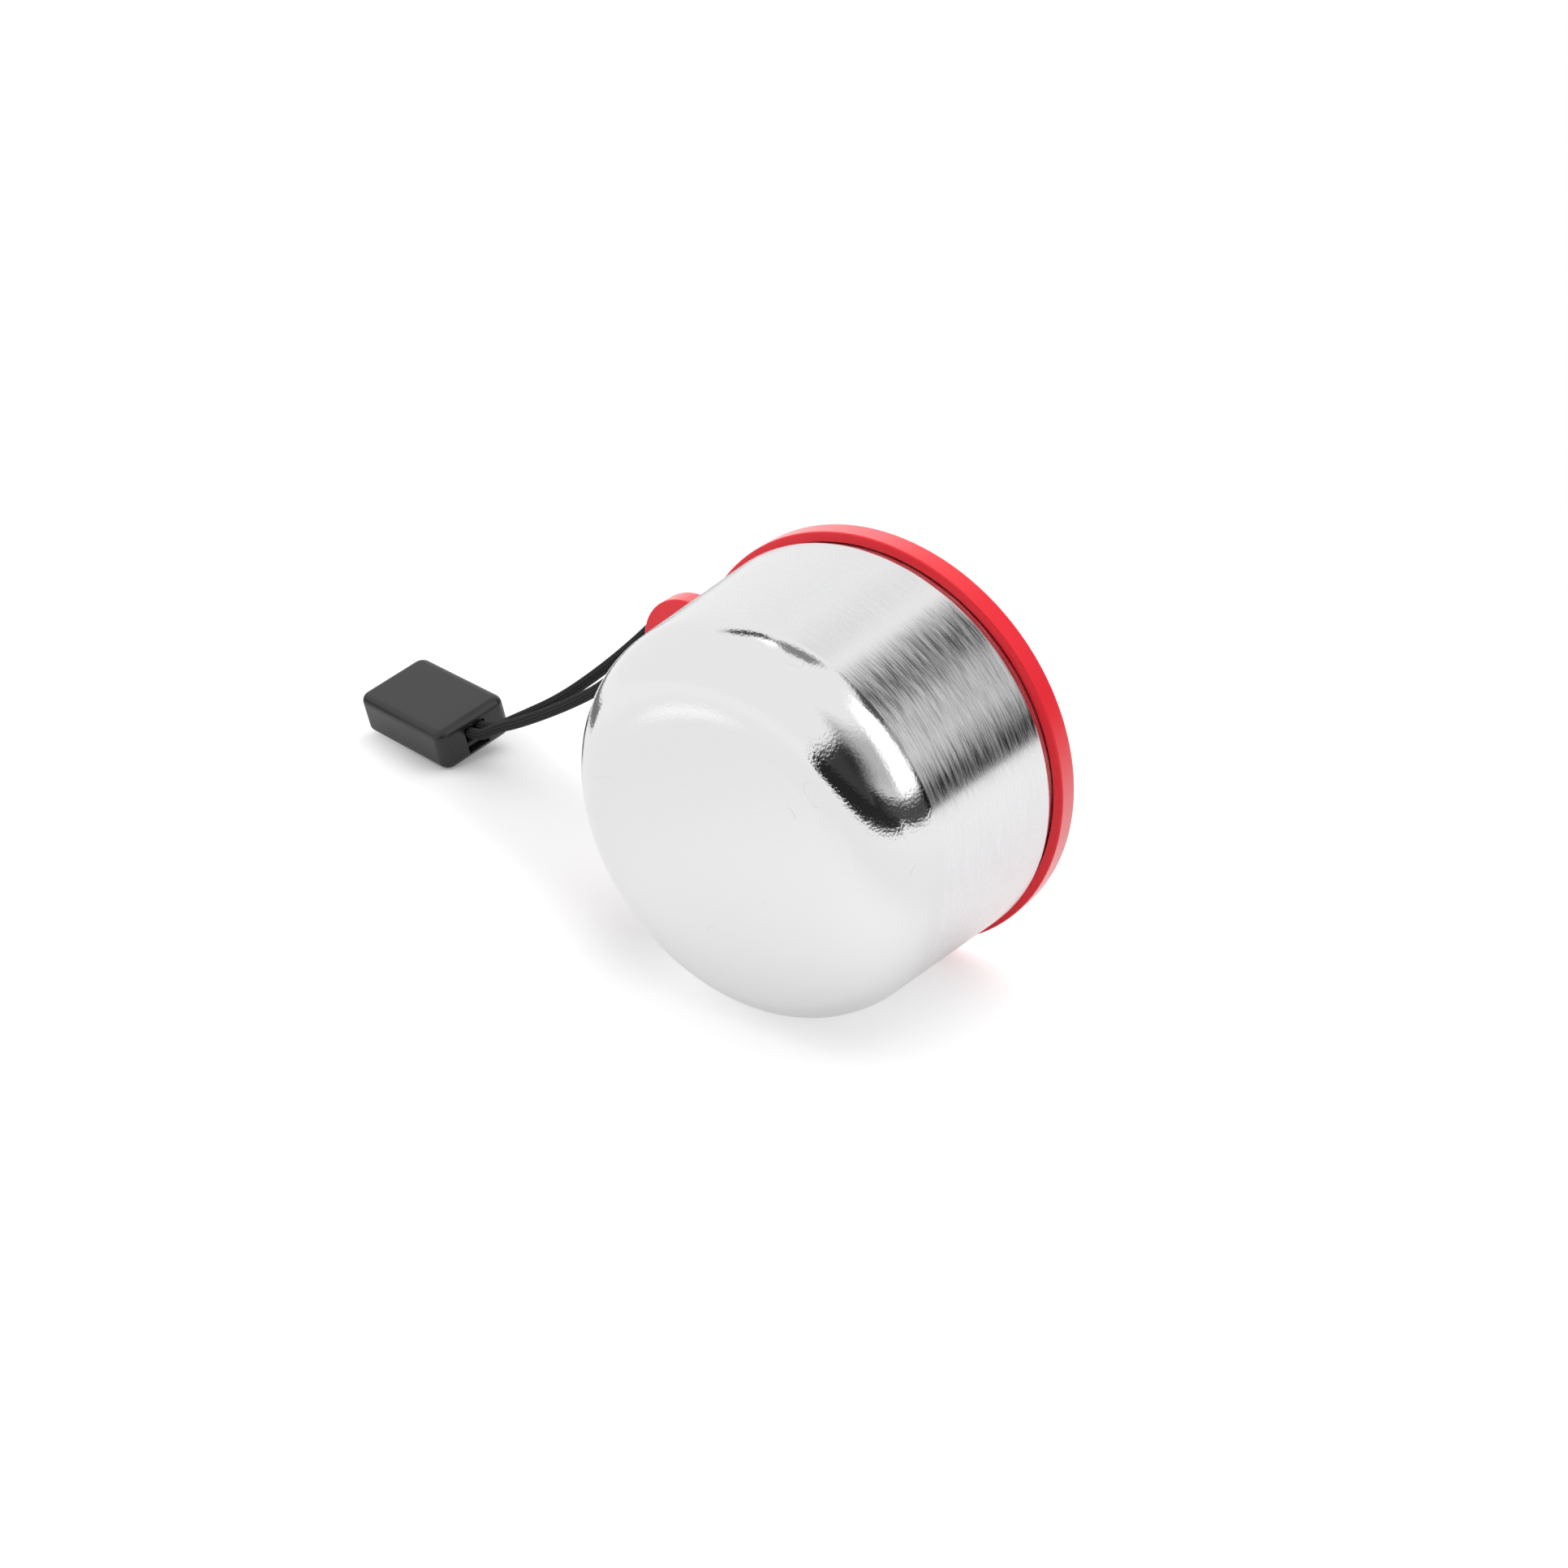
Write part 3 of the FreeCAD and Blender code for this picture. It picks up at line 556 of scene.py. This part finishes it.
# Painted reflection: only mirror rays see this glow, so the steel shows a brighter patch of floor and less
# of the shade near the container.
painted_patch_glow = from_patch.ramp(*PATCH_REACH, PAINTED_PATCH_GLOW, 0.0)
painted_reflection_glow = painted_patch_glow + from_contact.ramp(*CONTACT_REACH, *PAINTED_CONTACT_GLOW)
rays = wire.node("ShaderNodeLightPath")
glow = wire.node("ShaderNodeEmission", None, {
    "Color": WHITE, "Strength": rays["Is Camera Ray"] * seen_glow + rays["Is Glossy Ray"] * painted_reflection_glow})
paper = wire.node("ShaderNodeBsdfDiffuse", None, {"Color": PAPER_COLOUR})
near_paper = wire.node("ShaderNodeAddShader", None, {0: paper, 1: glow})
far_paper = wire.node("ShaderNodeEmission", None, {"Color": WHITE, "Strength": 1.0})
surface(wire, wire.node("ShaderNodeMixShader", None,
                        {0: from_middle.ramp(*FADE_REACH), 1: near_paper, 2: far_paper}))
floor_mesh.materials.append(floor_finish)

# Light: one big soft box overhead, a weaker one from the left, and a white room. Mirror rays pass the
# boxes and meet the room, whose dark and bright parts draw the shapes that show in the steel.
LIT_PLACE = Vector((0.0, 0.0, 0.04))
for name, place, size, power in (
        ("overhead_box", Vector((0.12, 0.22, 1.1)), 1.3, 7.5),
        ("left_box", Vector((-0.9, -0.5, 0.7)), 0.7, 1.0)):
    lamp = bpy.data.lights.new(name, "AREA")
    lamp.size = size
    lamp.energy = power
    holder = bpy.data.objects.new(name, lamp)
    scene.collection.objects.link(holder)
    holder.location = place
    holder.visible_glossy = False
    holder.rotation_euler = (LIT_PLACE - place).to_track_quat("-Z", "Y").to_euler()

ROOM_IN_STEEL = 0.97
ROOM_FILL = 0.75
CAMERA_SIDE_DIMMING = 0.38
room = bpy.data.worlds.new("white_room")
scene.world = room
room.use_nodes = True
room.node_tree.nodes.clear()
wire = Wire(room.node_tree)
way = wire.node("ShaderNodeSeparateXYZ", None, {"Vector": wire.node("ShaderNodeTexCoord")["Generated"]})
bearing = way["X"].math("ARCTAN2", way["Y"]) * (180 / math.pi)
climb = way["Z"].math("ARCSINE") * (180 / math.pi)


def window(value, low, high, soft):
    """One between two limits and nothing beyond them, with soft edges."""
    return value.ramp(low - soft, low + soft) * (1 - value.ramp(high - soft, high + soft))


# Each part of the room has how dark it is, or below nought how bright, its bearings and its heights, in
# degrees. A bearing of 0 is the lid's way and 90 is to the right.
beyond_slant = (bearing + climb).ramp(180.0, 187.0)
crescent = climb - 0.35 * (bearing + 60.0)
brightness = 1.0
for darkness, sides, heights in (
        # a low band along the horizon on the right
        (0.93, window(bearing, 38.0, 140.0, soft=6.0), 1 - climb.ramp(8.0, 15.0)),
        # the unlit corner beyond the lid on the right: its foot, its top and a half-tone between them
        (0.97, window(bearing, 0.0, 56.0, soft=5.0), 1 - climb.ramp(12.0, 33.0)),
        (0.92, window(bearing, 12.0, 52.0, soft=5.0), window(climb, 37.0, 54.0, soft=4.0)),
        (0.62, window(bearing, 12.0, 56.0, soft=5.0), window(climb, 24.0, 38.0, soft=4.0)),
        # the dark side where the camera stands, up to a slanting edge, and a half-tone beside it
        (0.95, bearing.ramp(112.0, 146.0) * (1 - beyond_slant), 1 - climb.ramp(24.0, 44.0)),
        (0.45, window(bearing, 98.0, 152.0, soft=10.0), window(climb, 14.0, 46.0, soft=8.0)),
        # two dark streaks high up, beyond the lid on the left and straight beyond it
        (0.97, window(bearing, -74.0, -46.0, soft=5.0), window(crescent, 51.0, 60.0, soft=2.5)),
        (0.72, window(bearing, -46.0, 8.0, soft=6.0), window(climb, 62.0, 78.0, soft=3.0)),
        # two brighter parts, on the right and high up on the left
        (-0.50, window(bearing, 52.0, 95.0, soft=6.0), window(climb, 14.0, 60.0, soft=5.0)),
        (-0.50, window(bearing, -68.0, -48.0, soft=4.0), window(climb, 63.0, 71.0, soft=2.0))):
    brightness = brightness * (1 - darkness * sides * heights)
fill = ROOM_FILL - CAMERA_SIDE_DIMMING * window(bearing, 70.0, 175.0, soft=30.0)
rays = wire.node("ShaderNodeLightPath")
seen_directly = rays["Is Camera Ray"]
seen_in_steel = rays["Is Glossy Ray"]
indirect = seen_in_steel * (ROOM_IN_STEEL * brightness) + (1 - seen_in_steel) * fill
back = wire.node("ShaderNodeBackground", None, {
    "Color": WHITE, "Strength": seen_directly + (1 - seen_directly) * indirect})
wire.node("ShaderNodeOutputWorld", None, {"Surface": back})

# Screens: painted reflections for the steel. A low dark screen stands on the floor in front of the base,
# from the middle to the right, and a lower grey card at the left, both faintly glowing. Only mirror rays
# meet them, so that they show in the steel alone.
SCREEN_Y = -0.28
SCREEN_TOP = 0.075
SCREEN_RIGHT = 0.80
CARD_X = -0.22
CARD_TOP = 0.030
SCREEN_FOOT = 0.001
for name, corners, tone in (
        ("dark_screen", ((-0.03, SCREEN_Y, SCREEN_FOOT), (SCREEN_RIGHT, SCREEN_Y, SCREEN_FOOT),
                         (SCREEN_RIGHT, SCREEN_Y, SCREEN_TOP), (0.022, SCREEN_Y, SCREEN_TOP)), 0.02),
        ("grey_card", ((CARD_X, 0.25, SCREEN_FOOT), (CARD_X, -0.03, SCREEN_FOOT),
                       (CARD_X, -0.03, CARD_TOP), (CARD_X, 0.25, CARD_TOP)), 0.2)):
    # Each screen is a painted reflection: a glowing sheet that only mirror rays see.
    screen_mesh = bpy.data.meshes.new(name)
    screen_mesh.from_pydata(corners, [], [(0, 1, 2, 3)])
    screen = bpy.data.objects.new(name, screen_mesh)
    scene.collection.objects.link(screen)
    for reach in ("camera", "diffuse", "transmission", "volume_scatter", "shadow"):
        setattr(screen, "visible_" + reach, False)
    screen_finish, wire = new_finish(name)
    surface(wire, wire.node("ShaderNodeEmission", None, {"Color": (tone, tone, tone, 1), "Strength": 1.0}))
    screen_mesh.materials.append(screen_finish)

# Camera: it stands half a metre away, to the right of the base and above it, and looks down at the
# polished base. It is level, and its lens is a little longer than a normal one.
camera_data = bpy.data.cameras.new("photo_camera")
camera_data.sensor_width = 36
camera_data.lens = 55.9
camera_data.clip_start = 0.01
camera = bpy.data.objects.new("photo_camera", camera_data)
scene.collection.objects.link(camera)
camera.location = Vector((272.97, -363.95, 252.93)) * MM
sight_line = Vector((-0.54414, 0.72734, -0.41820))
camera.rotation_euler = sight_line.to_track_quat("-Z", "Y").to_euler()
scene.camera = camera
